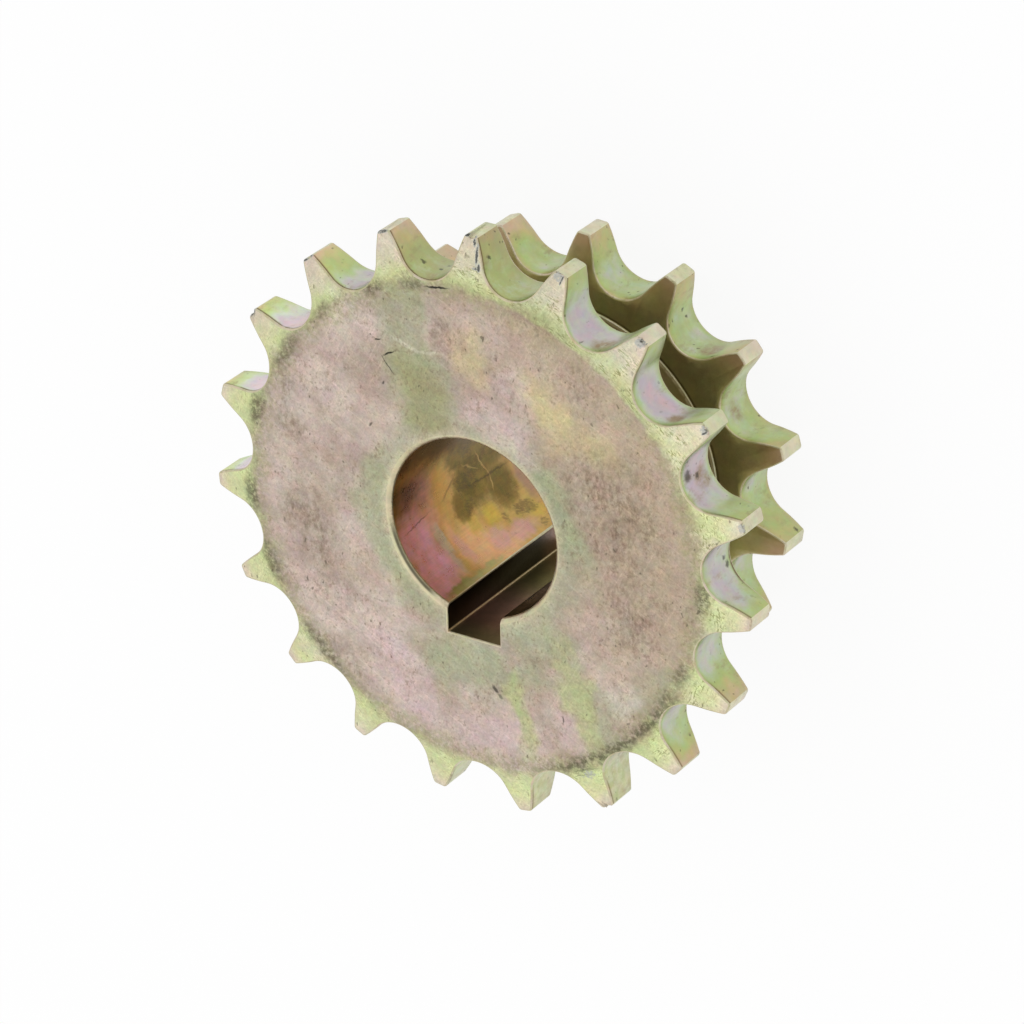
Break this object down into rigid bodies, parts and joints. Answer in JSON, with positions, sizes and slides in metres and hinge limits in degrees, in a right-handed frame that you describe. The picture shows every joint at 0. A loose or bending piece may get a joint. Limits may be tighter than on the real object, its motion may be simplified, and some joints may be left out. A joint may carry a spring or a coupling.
{
  "type": "stepped chain sprocket",
  "caption": "Stepped chain sprocket in solid steel: a large and a small row of roller-chain teeth on a grooved core, with a keyed through bore and a worn yellow zinc finish.",
  "frame": {"origin": "on the bore's axis, in the plane of the small row's outer face, which the part stands on", "axes": "+Z along the bore's axis from the small row up to the large row; -Y towards the keyway"},
  "size_m": [0.0814, 0.081, 0.0307],
  "materials": {
    "zinc_plated_steel": "yellow zinc chromate on turned steel: dull, iridescent green to pink, stained, with grime round the tooth roots"
  },
  "bodies": {
    "root": {"chain_pinion": "zinc_plated_steel"}
  },
  "joints": []
}
